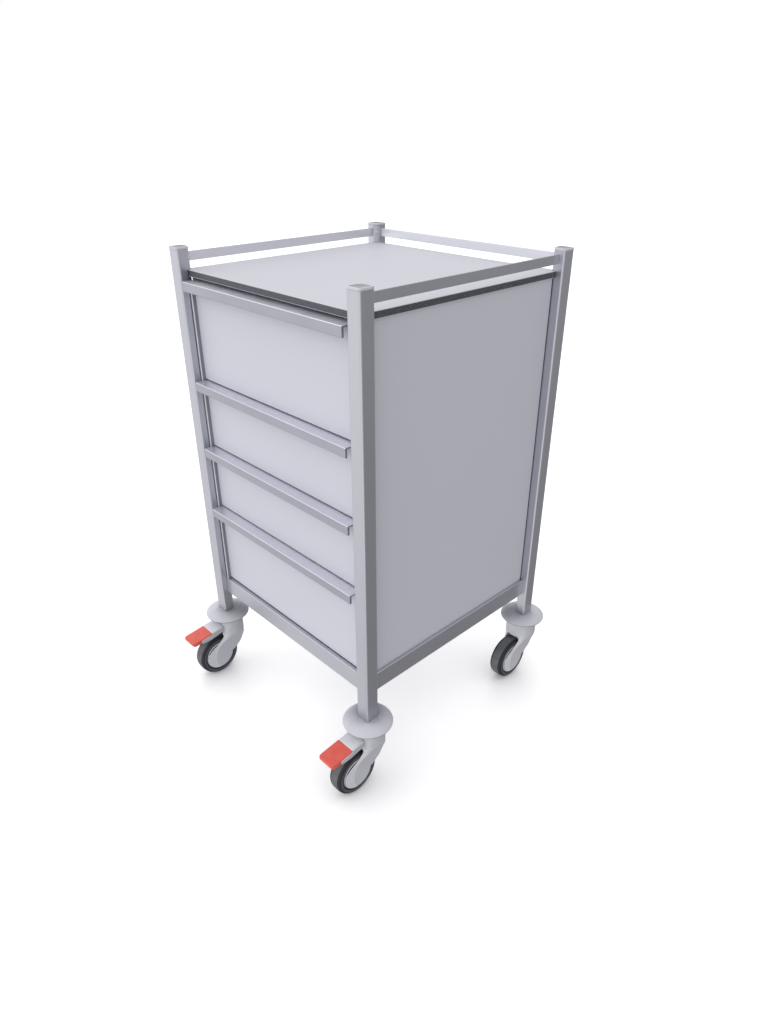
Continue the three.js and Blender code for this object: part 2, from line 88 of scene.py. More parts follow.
def arc(centre, radius, start, end, steps):
    """Points on an arc, angles in degrees."""
    angles = np.radians(np.linspace(start, end, steps + 1))
    return [(centre[0] + radius * math.cos(a), centre[1] + radius * math.sin(a)) for a in angles]


def rounded(corners, steps=6):
    """A closed outline through corners (x, y, radius), each one rounded by an arc of that radius."""
    points = []
    for index, (x, y, radius) in enumerate(corners):
        here = Vector((x, y))
        before = (Vector(corners[index - 1][:2]) - here).normalized()
        after = (Vector(corners[(index + 1) % len(corners)][:2]) - here).normalized()
        if radius <= 0:
            points.append((x, y))
            continue
        half = before.angle(after) / 2
        middle = here + (before + after).normalized() * (radius / math.sin(half))
        start = here + before * (radius / math.tan(half)) - middle
        end = here + after * (radius / math.tan(half)) - middle
        sweep = math.atan2(start.x * end.y - start.y * end.x, start.dot(end))
        first = math.atan2(start.y, start.x)
        for step in range(steps + 1):
            angle = first + sweep * step / steps
            points.append((middle.x + radius * math.cos(angle), middle.y + radius * math.sin(angle)))
    return points


def bezier(a, b, c, d, steps=10):
    """Points along a cubic curve after its start, a."""
    points = []
    for step in range(1, steps + 1):
        t = step / steps
        s = 1 - t
        weights = (s * s * s, 3 * s * s * t, 3 * s * t * t, t * t * t)
        points.append(tuple(sum(w * p[i] for w, p in zip(weights, (a, b, c, d))) for i in (0, 1)))
    return points


# ---------------------------------------------------------------- meshes


def mesh_of(name, vertices, faces, face_materials=None, sharp=32):
    """A mesh in metres, with its faces turned out and its edges sharper than an angle left sharp."""
    mesh = bpy.data.meshes.new(name)
    mesh.from_pydata([tuple(c * MM for c in v) for v in vertices], [], [tuple(f) for f in faces])
    if face_materials is not None:
        mesh.polygons.foreach_set("material_index", face_materials)
    work = bmesh.new()
    work.from_mesh(mesh)
    bmesh.ops.remove_doubles(work, verts=work.verts, dist=1e-7)
    bmesh.ops.recalc_face_normals(work, faces=work.faces)
    work.to_mesh(mesh)
    work.free()
    mesh.shade_smooth()
    mesh.set_sharp_from_angle(angle=math.radians(sharp))
    return mesh


def loft(name, rings, closed=False, ring_materials=None, sharp=32):
    """A skin through rings of equally many points. It has end caps unless the last ring joins the first."""
    count = len(rings[0])
    vertices = [point for ring in rings for point in ring]
    spans = len(rings) if closed else len(rings) - 1
    faces, materials = [], []
    for span in range(spans):
        here, there = span * count, (span + 1) % len(rings) * count
        for i in range(count):
            j = (i + 1) % count
            faces.append((here + i, here + j, there + j, there + i))
            materials.append(ring_materials[span] if ring_materials else 0)
    if not closed:
        faces += [range(count), range(spans * count, spans * count + count)]
        ends = (ring_materials[0], ring_materials[-1]) if ring_materials else (0, 0)
        materials += ends
    return mesh_of(name, vertices, faces, materials, sharp)


def prism(name, outline, start, end, along="z"):
    """An outline extruded along an axis. Its points are (y, z) along x and (x, y) along z."""
    rings = [[(w, u, v) if along == "x" else (u, v, w) for u, v in outline] for w in (start, end)]
    return loft(name, rings)


def lathe(name, profile, along="z", sides=72, ring_materials=None, closed=False, sharp=32):
    """A profile of (radius, height) turned about an axis, x or z."""
    turns = [2 * math.pi * i / sides for i in range(sides)]
    rings = []
    for radius, height in profile:
        ring = [(radius * math.cos(t), radius * math.sin(t), height) for t in turns]
        rings.append([(c, a, b) for a, b, c in ring] if along == "x" else ring)
    return loft(name, rings, closed, ring_materials, sharp)


def implicit(name, field, low, high, step):
    """The surface where a field of x, y and z is zero, as a closed net of quads. Inside is negative. Each
    cell of a grid that the surface crosses gets one vertex, in the middle of its crossings."""
    axes = [np.arange(a, b + step, step) for a, b in zip(low, high)]
    value = field(axes[0][:, None, None], axes[1][None, :, None], axes[2][None, None, :])
    value = np.broadcast_to(value, [len(a) for a in axes])
    inside = value < 0
    cells = [n - 1 for n in value.shape]
    total = np.zeros(cells + [3])
    crossings = np.zeros(cells, int)
    faces = []

    def corner(array, offset):
        return array[tuple(slice(o, o + c) for o, c in zip(offset, cells))]

    for axis in range(3):
        others = [a for a in range(3) if a != axis]
        for shift in ((0, 0), (0, 1), (1, 0), (1, 1)):
            offset = np.zeros(3, int)
            offset[others] = shift
            ahead = offset.copy()
            ahead[axis] = 1
            crossed = corner(inside, offset) != corner(inside, ahead)
            a, b = corner(value, offset)[crossed], corner(value, ahead)[crossed]
            point = np.tile(offset.astype(float), (len(a), 1))
            point[:, axis] = a / (a - b)
            total[crossed] += point
            crossings[crossed] += 1
    used = crossings > 0
    index = np.full(cells, -1)
    index[used] = np.arange(used.sum())
    points = (np.argwhere(used) + total[used] / crossings[used][:, None]) * step + np.array(low, float)
    for axis in range(3):
        one, two = [a for a in range(3) if a != axis]
        edge = [slice(1, c) for c in cells]
        edge[axis] = slice(0, cells[axis])
        ahead = list(edge)
        ahead[axis] = slice(1, cells[axis] + 1)
        crossed = np.argwhere(inside[tuple(edge)] != inside[tuple(ahead)])
        crossed[:, [one, two]] += 1
        quad = []
        for shift in ((0, 0), (1, 0), (1, 1), (0, 1)):
            cell = crossed.copy()
            cell[:, one] -= shift[0]
            cell[:, two] -= shift[1]
            quad.append(index[tuple(cell.T)])
        faces.append(np.stack(quad, 1))
    for _ in range(2):
        points -= toward_surface(field, points)
    return mesh_of(name, points, np.concatenate(faces).tolist(), sharp=180)


def toward_surface(field, points):
    """How far points stand off the surface of a field, as one vector each."""
    reach, flattest, longest = 0.05, 0.5, 0.4
    slope = np.stack([
        (field(*(points + reach * unit).T) - field(*(points - reach * unit).T)) / (2 * reach)
        for unit in np.eye(3)
    ], 1)
    away = field(*points.T)[:, None] * slope / np.maximum((slope * slope).sum(1), flattest**2)[:, None]
    return np.clip(away, -longest, longest)


def smooth_max(a, b, width):
    """What two fields have in common, with a round of about a width where they meet."""
    share = np.clip(0.5 + 0.5 * (a - b) / width, 0, 1)
    return b + (a - b) * share + width * share * (1 - share)


def smooth_min(a, b, width):
    """Two fields together, with a fillet of about a width where they meet."""
    return -smooth_max(-a, -b, width)


def ease(value, start, end):
    """A soft step from 0 to 1 as a value goes from start to end."""
    t = np.clip((value - start) / (end - start), 0, 1)
    return t * t * (3 - 2 * t)


def outline_field(outline):
    """The signed distance from a closed outline in two coordinates, negative inside."""
    starts = np.array(outline, float)
    ends = np.roll(starts, -1, 0)

    def field(u, v):
        u, v = np.broadcast_arrays(u, v)
        nearest = np.full(u.shape, 1e9)
        odd = np.zeros(u.shape, bool)
        for (ax, ay), (bx, by) in zip(starts, ends):
            dx, dy = bx - ax, by - ay
            length = max(dx * dx + dy * dy, 1e-12)
            t = np.clip(((u - ax) * dx + (v - ay) * dy) / length, 0, 1)
            nearest = np.minimum(nearest, np.hypot(u - ax - t * dx, v - ay - t * dy))
            if ay != by:
                odd ^= ((ay > v) != (by > v)) & (u < dx * (v - ay) / dy + ax)
        return np.where(odd, -nearest, nearest)

    return field


def add_piece(name, mesh, body, materials, stands_for=(), at=(0, 0, 0), bevel=0.0):
    """An object for a mesh, riding on a body. bevel softens its sharp edges by that many millimetres."""
    piece = bpy.data.objects.new(name, mesh)
    bpy.context.scene.collection.objects.link(piece)
    if not mesh.materials:
        for material in materials:
            mesh.materials.append(material)
    piece.location = [c * MM for c in at]
    if bevel:
        soften(piece, bevel)
    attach(piece, body)
    if stands_for:
        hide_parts(*stands_for)
    return piece


def soften(piece, width):
    """Rounds the sharp edges of a piece, and keeps its flat faces flat in the light."""
    bevel = piece.modifiers.new("edges", "BEVEL")
    bevel.width = width * MM
    bevel.segments = 3
    bevel.limit_method = "ANGLE"
    bevel.angle_limit = math.radians(40)
    bevel.miter_outer = "MITER_ARC"
    normals = piece.modifiers.new("normals", "WEIGHTED_NORMAL")
    normals.keep_sharp = True


# ---------------------------------------------------------------- materials


def linear(rgb):
    """A screen colour, 0 to 255 a channel, as the shader's linear colour."""
    return tuple(((c / 255 + 0.055) / 1.055) ** 2.4 for c in rgb) + (1,)


class Wiring:
    """Short calls for wiring a node tree."""

    def __init__(self, tree):
        self.tree = tree

    def add(self, kind, **settings):
        """A new node of a kind, with its settings."""
        node = self.tree.nodes.new(kind)
        for key, value in settings.items():
            setattr(node, key, value)
        return node

    def link(self, source, target):
        self.tree.links.new(source, target)

    def maths(self, operation, first, second=None):
        """One sum. Its terms are numbers or other nodes' outputs."""
        node = self.add("ShaderNodeMath", operation=operation)
        for socket, value in zip(node.inputs, (first, second)):
            if isinstance(value, (int, float)):
                socket.default_value = value
            elif value is not None:
                self.link(value, socket)
        return node.outputs[0]

    def product(self, *shares):
        """Several values multiplied together."""
        total = shares[0]
        for share in shares[1:]:
            total = self.maths("MULTIPLY", total, share)
        return total


NOISE_LOW, NOISE_HIGH = 0.3, 0.7  # nearly all of a noise lies between these


class Nodes(Wiring):
    """The wiring of one material."""

    def __init__(self, name):
        self.material = bpy.data.materials.new(name)
        self.material.use_nodes = True
        super().__init__(self.material.node_tree)
        self.shader = self.tree.nodes["Principled BSDF"]
        coordinates = self.add("ShaderNodeTexCoord")
        self.place = coordinates.outputs["Object"]
        self.facing = coordinates.outputs["Normal"]

    def noise(self, scale, detail=3.0, stretch=(1, 1, 1), rough=0.5):
        """A noise in the piece's own space. scale is how many patches there are in a metre."""
        mapping = self.add("ShaderNodeMapping")
        mapping.inputs["Scale"].default_value = stretch
        self.link(self.place, mapping.inputs["Vector"])
        node = self.add("ShaderNodeTexNoise")
        node.inputs["Scale"].default_value = scale
        node.inputs["Detail"].default_value = detail
        node.inputs["Roughness"].default_value = rough
        self.link(mapping.outputs["Vector"], node.inputs["Vector"])
        return node.outputs["Fac"]

    def ramp(self, noise, low, high):
        """The drift between two colours as a noise goes from low to high."""
        node = self.add("ShaderNodeValToRGB")
        stops = node.color_ramp.elements
        stops[0].position, stops[0].color = NOISE_LOW, low
        stops[1].position, stops[1].color = NOISE_HIGH, high
        self.link(noise, node.inputs["Fac"])
        return node.outputs["Color"]

    def blend(self, share, first, second):
        """Two colours mixed: share is how much of the second shows."""
        node = self.add("ShaderNodeMix", data_type="RGBA")
        self.link(share, node.inputs["Factor"])
        self.link(first, node.inputs[6])
        self.link(second, node.inputs[7])
        return node.outputs[2]

    def parts(self, vector):
        """The X, Y and Z of a vector."""
        node = self.add("ShaderNodeSeparateXYZ")
        self.link(vector, node.inputs[0])
        return node.outputs

    def mapped(self, value, start, end, low=0.0, high=1.0):
        """A value that goes from low to high as another goes from start to end, and stays between them."""
        node = self.add("ShaderNodeMapRange")
        node.inputs["From Min"].default_value = start
        node.inputs["From Max"].default_value = end
        node.inputs["To Min"].default_value = low
        node.inputs["To Max"].default_value = high
        self.link(value, node.inputs["Value"])
        return node.outputs["Result"]

    def openness(self, distance):
        """How much of the space round a point is free, up to a distance."""
        node = self.add("ShaderNodeAmbientOcclusion", samples=8)
        node.inputs["Distance"].default_value = distance * MM
        return node.outputs["AO"]

    def bump(self, value, depth):
        """depth is the height of the grain, in millimetres."""
        node = self.add("ShaderNodeBump")
        node.inputs["Strength"].default_value = 1.0
        node.inputs["Distance"].default_value = depth * MM
        self.link(value, node.inputs["Height"])
        return node.outputs["Normal"]

    def set(self, **sockets):
        """Sets the shader's sockets. An underscore stands for a space in a socket's name."""
        for name, value in sockets.items():
            self.shader.inputs[name.replace("_", " ")].default_value = value


def surface(name, dark, light, roughness, patch=9, grain=900, depth=0.01, stretch=(1, 1, 1),
            tone=None, **sockets):
    """A finish that drifts between two colours and two roughnesses, with a fine grain. tone(nodes) gives
    how much of a second pair of colours shows, and the pair: (share, dark, light)."""
    nodes = Nodes(name)
    drift = nodes.noise(patch, 4)
    speck = nodes.noise(grain, 3, stretch, 0.6)
    colour = nodes.ramp(drift, linear(dark), linear(light))
    if tone:
        share, other_dark, other_light = tone(nodes)
        colour = nodes.blend(share, colour, nodes.ramp(drift, linear(other_dark), linear(other_light)))
    nodes.link(colour, nodes.shader.inputs["Base Color"])
    polish = nodes.mapped(nodes.noise(patch * 5, 5), NOISE_LOW, NOISE_HIGH, *roughness)
    nodes.link(polish, nodes.shader.inputs["Roughness"])
    nodes.link(nodes.bump(speck, depth), nodes.shader.inputs["Normal"])
    nodes.set(**sockets)
    return nodes.material


def painted_light_on_top(nodes):
    """Faces that look up are coloured brighter than the upright ones: painted light from above."""
    upward = nodes.parts(nodes.facing)["Z"]
    return nodes.mapped(upward, 0.1, 0.45), (222, 223, 231), (230, 231, 239)


def painted_bounce_light_inside(nodes):
    """The faces of the far gallery rails that look over the worktop are coloured brighter: painted light, as
    if bounced from its white.
    """
    facing = nodes.parts(nodes.facing)
    inward = nodes.maths("MAXIMUM", facing["X"], nodes.maths("MULTIPLY", facing["Y"], -1.0))
    return nodes.mapped(inward, 0.3, 0.6), (232, 233, 239), (236, 237, 243)


SHELTER_REACH = 110
OPEN, SHELTERED = 0.86, 0.42


def darker_when_covered(nodes):
    """The disc is in the shade of the rails where they cover it."""
    shade = nodes.mapped(nodes.openness(SHELTER_REACH), OPEN, SHELTERED)
    return shade, (104, 104, 112), (110, 110, 118)


RIDGE_Y = -4
RIDGE_Z = -121
RIDGE_RADIUS = 50.5
RIDGE_WIDTH = 1.6
HIGHLIGHT_START, HIGHLIGHT_FULL = 16.2, 16.8  # how far out from the middle of the fork the painted highlight begins
HOLLOW_START, HOLLOW_FULL = -52, -66  # heights between which it fades in
HOLLOW_FORWARD = -20


def painted_highlight_ahead_of_ridge(nodes):
    """The hollow in front of the ridge on a fork leg is coloured lighter: a painted highlight."""
    parts = nodes.parts(nodes.place)
    y = nodes.maths("SUBTRACT", parts["Y"], RIDGE_Y * MM)
    z = nodes.maths("SUBTRACT", parts["Z"], RIDGE_Z * MM)
    squares = nodes.maths("ADD", nodes.product(y, y), nodes.product(z, z))
    span = nodes.maths("SQRT", squares)
    ahead = nodes.mapped(span, RIDGE_RADIUS * MM, (RIDGE_RADIUS + RIDGE_WIDTH) * MM)
    forward = nodes.mapped(parts["Y"], 0.0, HOLLOW_FORWARD * MM)
    outside = nodes.mapped(nodes.maths("ABSOLUTE", parts["X"]), HIGHLIGHT_START * MM, HIGHLIGHT_FULL * MM)
    below = nodes.mapped(parts["Z"], HOLLOW_START * MM, HOLLOW_FULL * MM)
    share = nodes.product(nodes.product(ahead, forward), nodes.product(outside, below))
    return share, (222, 222, 231), (229, 229, 238)


METAL = dict(roughness=(0.34, 0.4), patch=4, grain=1600, stretch=(1, 1, 0.12))
MOULDED = dict(roughness=(0.38, 0.44), patch=30, grain=1400, depth=0.012)
RUBBER = dict(roughness=(0.45, 0.6), patch=40, grain=1500, depth=0.02)

aluminium = surface("satin_anodised_aluminium", (194, 195, 203), (198, 199, 207), depth=0.006,
                    Metallic=0.9, **METAL)
# The far gallery rails carry painted bounce light on their inward faces.
gallery_aluminium = surface("gallery_aluminium_painted_bounce", (194, 195, 203), (198, 199, 207), depth=0.006,
                            tone=painted_bounce_light_inside, Metallic=0.9, **METAL)
# The handles' upward faces are coloured brighter: painted light from above.
handle_aluminium = surface("brushed_handle_aluminium", (167, 168, 178), (173, 174, 184), (0.34, 0.42),
                           grain=1500, depth=0.006, stretch=(0.08, 1, 1), tone=painted_light_on_top, Metallic=0.75)
trim_aluminium = surface("bright_trim_aluminium", (226, 227, 232), (232, 233, 238), depth=0.005,
                         Metallic=0.5, **METAL)
laminate = surface("pearl_laminate", (206, 206, 217), (208, 208, 219), (0.42, 0.44), patch=3, grain=1100)
worktop_laminate = surface("worktop_laminate", (202, 202, 212), (205, 205, 215), (0.42, 0.46), patch=3,
                           grain=1100, depth=0.012)
dark_core = surface("speckled_dark_core", (58, 59, 66), (92, 93, 100), (0.42, 0.6), patch=420, grain=1300,
                    depth=0.03)
cap_plastic = surface("cap_plastic", (198, 198, 206), (204, 204, 212), (0.4, 0.5), grain=1300)
# The recess is coloured a darker grey: partly its own grey, partly painted shade for being sunk.
cap_recess = surface("cap_recess_plastic", (150, 150, 158), (160, 160, 168), (0.5, 0.6), grain=1300,
                     depth=0.015)
tray_plastic = surface("tray_plastic", (218, 218, 220), (224, 224, 226), (0.4, 0.52), grain=1200,
                       depth=0.02)
runner_steel = surface("zinc_plated_steel", (168, 170, 175), (186, 188, 193), (0.28, 0.42), patch=60,
                       grain=1500, depth=0.006, stretch=(1, 0.1, 1), Metallic=0.9)
screw_steel = surface("bright_screw_steel", (205, 206, 210), (222, 223, 228), (0.2, 0.3), patch=200,
                      grain=2500, depth=0.004, Metallic=0.95)
# Painted shade: the grey of the strip that stands in for the shadow beside each edge trim.
grey_seal = surface("grey_seal", (128, 128, 138), (138, 138, 148), (0.5, 0.6), patch=30, grain=1500,
                    depth=0.02)
bumper_plastic = surface("bumper_plastic", (203, 203, 212), (209, 209, 218), tone=darker_when_covered,
                         **MOULDED)
bumper_lip = surface("bumper_lip_plastic", (112, 112, 120), (122, 122, 130), **MOULDED)
# The fork legs carry a painted highlight in the hollow ahead of the ridge.
fork_plastic = surface("fork_plastic", (203, 203, 212), (209, 209, 218), tone=painted_highlight_ahead_of_ridge,
                       **MOULDED)
# The lever's upward faces are coloured brighter: painted light from above.
lever_plastic = surface("lever_plastic", (190, 190, 199), (196, 196, 205), tone=painted_light_on_top, **MOULDED)
hub_plastic = surface("hub_plastic", (216, 216, 225), (223, 223, 232), (0.4, 0.5), patch=30, grain=1400)
rubber_side = surface("rubber_side", (78, 78, 88), (88, 88, 98), **RUBBER)
rubber_black = surface("rubber_shoulder", (24, 24, 29), (32, 32, 38), **RUBBER)
rubber_tread = surface("rubber_tread", (84, 85, 92), (104, 105, 112), (0.5, 0.68), patch=60, grain=1200,
                       depth=0.03)
pedal_red = surface("pedal_red_plastic", (226, 92, 78), (232, 103, 90), (0.38, 0.48), patch=60,
                    grain=1200, depth=0.015)

# ---------------------------------------------------------------- posts and caps

OUTER_RADIUS = 4.5
INNER_RADIUS = 15
WALL = 2
CAP_LIP = 4
CAP_PLUG = 12
CAP_OVERHANG = 0.5


def post_outline(corner, margin, z, steps=10):
    """A ring round a post, grown by a margin, at a height. The corner towards the middle is a big round."""
    x, y = post_middle(corner)
    side, back = CORNERS[corner]
    half = POST / 2 + margin
    corners = []
    for sx, sy in ((-1, -1), (1, -1), (1, 1), (-1, 1)):
        radius = INNER_RADIUS if (sx, sy) == (-side, -back) else OUTER_RADIUS
        corners.append((x + sx * half, y + sy * half, max(radius + margin, 0.8)))
    return [(u, v, z) for u, v in rounded(corners, steps)]


def cap_mesh(corner):
    """A plug in the end of a post, with a lip that has a soft edge and a shallow recess in its top. The
    recess is coloured a darker grey, partly its own grey and partly painted shade for being sunk.
    """
    seat = POST_TOP + CLEARANCE
    top = seat + CAP_LIP
    plug = -WALL - CLEARANCE
    rings = [post_outline(corner, margin, z) for margin, z in (
        (plug, POST_TOP - CAP_PLUG), (plug, seat), (CAP_OVERHANG, seat), (CAP_OVERHANG, top - 1.3),
        (CAP_OVERHANG - 0.35, top - 0.6), (CAP_OVERHANG - 0.9, top - 0.15), (CAP_OVERHANG - 1.5, top),
        (-2.6, top), (-3.2, top - 0.25), (-3.7, top - 1.0),
    )]
    materials = [0] * (len(rings) - 2) + [1]
    return loft(f"post_cap_{corner}", rings, ring_materials=materials, sharp=50)


def add_posts():
    """The square tubes and the caps in their upper ends."""
    for corner in CORNERS:
        rings = [
            post_outline(corner, 0, FOOT), post_outline(corner, 0, POST_TOP),
            post_outline(corner, -WALL, POST_TOP), post_outline(corner, -WALL, FOOT),
        ]
        post, cap = f"post_{corner}", f"post_cap_{corner}"
        add_piece(f"{post}_tube", loft(post, rings, closed=True), "frame", [aluminium], [post],
                  bevel=0.35)
        add_piece(f"{cap}_moulded", cap_mesh(corner), "frame", [cap_plastic, cap_recess],
                  [cap])


# ---------------------------------------------------------------- worktop

LAYER = 0.8  # the laminate on each face


def add_worktop():
    """A thin board with a dark core, cut away in a round at each post."""
    low, high = box_mm("worktop")
    around = POST / 2 + CAP_OVERHANG + CLEARANCE
    outline = []
    for corner, turn in (("front_left", 0), ("front_right", 90), ("rear_right", 180), ("rear_left", 270)):
        x, y = post_middle(corner)
        side, back = CORNERS[corner]
        edge_x = low[0] if side < 0 else high[0]
        edge_y = low[1] if back < 0 else high[1]
        reach_x = math.degrees(math.asin(abs(edge_y - y) / around))
        reach_y = math.degrees(math.asin(abs(edge_x - x) / around))
        if turn % 180:
            reach_x, reach_y = reach_y, reach_x
        outline += arc((x, y), around, turn + 90 - reach_y, turn + reach_x, 12)
    heights = [low[2], low[2] + LAYER, high[2] - LAYER, high[2]]
    rings = [[(x, y, z) for x, y in outline] for z in heights]
    board = loft("worktop", rings, ring_materials=[0, 1, 0])
    add_piece("worktop_board", board, "frame", [worktop_laminate, dark_core],
              ["worktop"], bevel=0.4)


# ---------------------------------------------------------------- drawers

GRIP = 4.4
PLATE = 2.5
SKIN = 1.5
FRONT_LAP = 7  # how far the handle laps down the front's two faces
BACK_LAP = 14


def add_handles():
    """Grip rails: each caps the top of a drawer front, reaches forward and ends in a lip that hangs down."""
    for drawer in DRAWERS:
        low, high = box_mm(f"{drawer}_handle")
        front_low, front_high = box_mm(f"{drawer}_front")
        face, back = front_low[1] - CLEARANCE, front_high[1] + CLEARANCE
        tip, top, foot = low[1], high[2], low[2]
        outline = rounded([
            (back + SKIN, top, 0.5), (tip, top, 1.3), (tip, foot, 1.6), (tip + GRIP, foot, 1.6),
            (tip + GRIP, top - PLATE, 0.8), (face - SKIN, top - PLATE, 0.4),
            (face - SKIN, top - FRONT_LAP, 0.4), (face, top - FRONT_LAP, 0.3), (face, top - PLATE, 0),
            (back, top - PLATE, 0), (back, top - BACK_LAP, 0.3), (back + SKIN, top - BACK_LAP, 0.5),
        ], 8)
        mesh = prism(f"{drawer}_handle", outline, low[0], high[0], "x")
        add_piece(f"{drawer}_grip_rail", mesh, drawer, [handle_aluminium],
                  [f"{drawer}_handle"], bevel=0.35)


EDGE_WIDTH = 4.5
EDGE_REACH = 7
EDGE_DROP = 4.6  # how far the edge hangs below the front
EDGE_INSET = 0.1  # from the side of the front
EDGE_GAP = 0.2  # from the face of the front
# The grey strip beside each edge trim is painted shade, a thin dark piece set where the gap is in shadow.
SHADE_STRIP_START = EDGE_WIDTH + 0.05
SHADE_STRIP_END = EDGE_WIDTH + 1


def add_edge_trims():
    """A raised metal edge down each side of every drawer front, with a thin grey strip along its inner side
    that is painted shade: it stands in for the shadow in the gap beside the edge.
    """
    edge = rounded([
        (0, 0, 0.5), (0, -EDGE_REACH, 0.7), (EDGE_WIDTH, -EDGE_REACH, 0.7), (EDGE_WIDTH, 0, 0.3),
    ], 4)
    seal = [
        (SHADE_STRIP_START, 0), (SHADE_STRIP_START, 0.7 - EDGE_REACH), (SHADE_STRIP_END, 1.2 - EDGE_REACH), (SHADE_STRIP_END, 0),
    ]
    for drawer in DRAWERS:
        low, high = box_mm(f"{drawer}_front")
        foot, top = low[2] - EDGE_DROP, high[2] - CLEARANCE
        for hand, side, place in (("left", 1, low[0] + EDGE_INSET), ("right", -1, high[0] - EDGE_INSET)):
            for outline, part, kind, material in (
                (edge, "edge", "edge_trim", trim_aluminium), (seal, "seal", "edge_seal", grey_seal),
            ):
                points = [(place + side * u, low[1] - EDGE_GAP + v) for u, v in outline]
                mesh = prism(f"{drawer}_{part}", points, foot, top)
                add_piece(f"{drawer}_{kind}_{hand}", mesh, drawer, [material])


# ---------------------------------------------------------------- fasteners

SCREW_SIDES = 24
SOCKET_DEPTH = 1.3
SOCKET_SHARE = 0.48
SUNK = 0.05  # how far a head sits into its face
TO_BACK = (-math.pi / 2, 0, 0)
DOWN = (math.pi, 0, 0)


def screw_ring(size, z, hexagon=False):
    """A ring of a screw head, round or with six sides."""
    points = []
    for i in range(SCREW_SIDES):
        turn = 2 * math.pi * i / SCREW_SIDES
        reach = size
        if hexagon:
            off_middle = (turn + math.pi / 6) % (math.pi / 3) - math.pi / 6
            reach = size * math.cos(math.pi / 6) / math.cos(off_middle)
        points.append((reach * math.cos(turn), reach * math.sin(turn), z))
    return points


def screw_mesh(radius, height):
    """A domed screw head with a hexagon socket. It stands on z = 0 and looks up."""
    socket = radius * SOCKET_SHARE
    rings = [screw_ring(radius * share, z) for share, z in (
        (1, -0.4), (1, height * 0.25), (0.93, height * 0.6), (0.78, height * 0.88), (0.6, height),
    )]
    rings.append(screw_ring(socket, height, True))
    rings.append(screw_ring(socket, height - min(SOCKET_DEPTH, height * 0.7), True))
    return loft("screw", rings, sharp=40)


def add_screw(name, mesh, body, place, turned):
    """A screw head on a body. turned is how it is turned from looking up."""
    screw = add_piece(name, mesh, body, [screw_steel], at=place)
    screw.rotation_euler = turned


RAIL_SCREW_RISE = 9
PANEL_SCREW_INSET = (14, 25)
PANEL_SCREW_ROWS = 5
BASE_SCREW_INSET = (30, 45)


def add_frame_screws():
    """Screws through the posts into the ends of the rails, and screws that hold the back and the base."""
    small, large, flat = screw_mesh(3.2, 1.6), screw_mesh(4.6, 2.2), screw_mesh(3.6, 1.0)
    gallery_z = sum(box[2] for box in box_mm("gallery_rail_left")) / 2
    rail_z = sum(box[2] for box in box_mm("bottom_rail_left")) / 2
    inward = math.sqrt(0.5) * (INNER_RADIUS - 0.2) + POST / 2 - INNER_RADIUS
    for corner, (side, back) in CORNERS.items():
        x, y = post_middle(corner)
        on_round = (x - side * inward, y - back * inward, gallery_z)
        inwards = (0, math.pi / 2, math.atan2(-back, -side))
        add_screw(f"gallery_screw_{corner}", small, "frame", on_round, inwards)
        if back > 0:
            rear_face = y + POST / 2 - SUNK
            for z, kind in ((rail_z + RAIL_SCREW_RISE, "upper"), (rail_z - RAIL_SCREW_RISE, "lower")):
                add_screw(f"rail_screw_{kind}_{corner}", large, "frame", (x, rear_face, z), TO_BACK)
    low, high = box_mm("back_panel")
    in_x, in_z = PANEL_SCREW_INSET
    for row, z in enumerate(np.linspace(low[2] + in_z, high[2] - in_z, PANEL_SCREW_ROWS), 1):
        for hand, x in (("left", low[0] + in_x), ("right", high[0] - in_x)):
            add_screw(f"back_panel_screw_{row}_{hand}", flat, "frame", (x, high[1] - SUNK, z), TO_BACK)
    low, high = box_mm("base_panel")
    in_x, in_y = BASE_SCREW_INSET
    for column, x in enumerate((low[0] + in_x, 0, high[0] - in_x), 1):
        for row, y in enumerate((low[1] + in_y, high[1] - in_y), 1):
            add_screw(f"base_panel_screw_{column}_{row}", flat, "frame", (x, y, low[2] + SUNK), DOWN)


TRAY_WALL = 3
TRAY_SCREW_DROP = 22
TRAY_SCREW_PLACES = (-170, -60, 60, 170)


def add_drawer_screws():
    """Screws through the front wall of each tray into its drawer front."""
    flat = screw_mesh(3.4, 1.0)
    for drawer in DRAWERS:
        low, high = box_mm(f"{drawer}_tray")
        wall, z = low[1] + TRAY_WALL - SUNK, high[2] - TRAY_SCREW_DROP
        for column, x in enumerate(TRAY_SCREW_PLACES, 1):
            add_screw(f"{drawer}_front_screw_{column}", flat, drawer, (x, wall, z), TO_BACK)


# ---------------------------------------------------------------- castors

WHEEL_TRAIL = 43
AXLE_DROP = 114.5
AXLE_RADIUS = 5
LEG_EYE = 34.2  # radius of a leg's end round the axle
LEG_INNER = 16.6
LEG_OUTER = 19.8
LEG_SKIN = 1.3
FLUSH = 18.1  # half the width over the legs' ends
EYE_DEPTH = 11.2  # how close to the middle the legs' ends reach into the hub
HOUSING_RADIUS = 33
HOUSING_BOTTOM = -60
HOUSING_TOP = -14.3
COLLAR_RADIUS = 36.6
COLLAR_HALF = 4.1
SPIGOT_ROOM = 7.4
SPIGOT_END = -41
WHEEL_ROOM = 52.5
BOSS_RADIUS = 7.5
LEVER_HALF = 21
LEVER_WALL = 3
PIVOT_Y = -20
PIVOT_Z = -45
PIVOT_RADIUS = 3


def bumper_mesh():
    """A domed disc with a soft rim, its stem in the post above and its spigot in the fork below. The
    lower half of the rim is dark."""
    under = [(0, -40), (6.2, -40), (7, -39.2), (7, -14), (33, -14), (46.5, -14)]
    lip = [(48.6, -13.8), (49.5, -13.2), (49.8, -12.5), (49.5, -12.0)]
    rim = [(50, -11.6), (49.8, -10.7), (48.9, -9.8)]
    dome = bezier((22, -0.3), (34, -1.4), (43, -4.6), (47.6, -9.0), 14)
    stem = [(22, -0.3), (13.4, -0.3), (12.6, 0.6), (12.6, 37), (11.6, 38), (0, 38)]
    materials = [0] * (len(under) - 1) + [1] * len(lip) + [0] * len(rim + dome + stem)
    profile = under + lip + rim + dome[::-1] + stem
    return lathe("castor_bumper", profile, sides=96, ring_materials=materials, sharp=50)


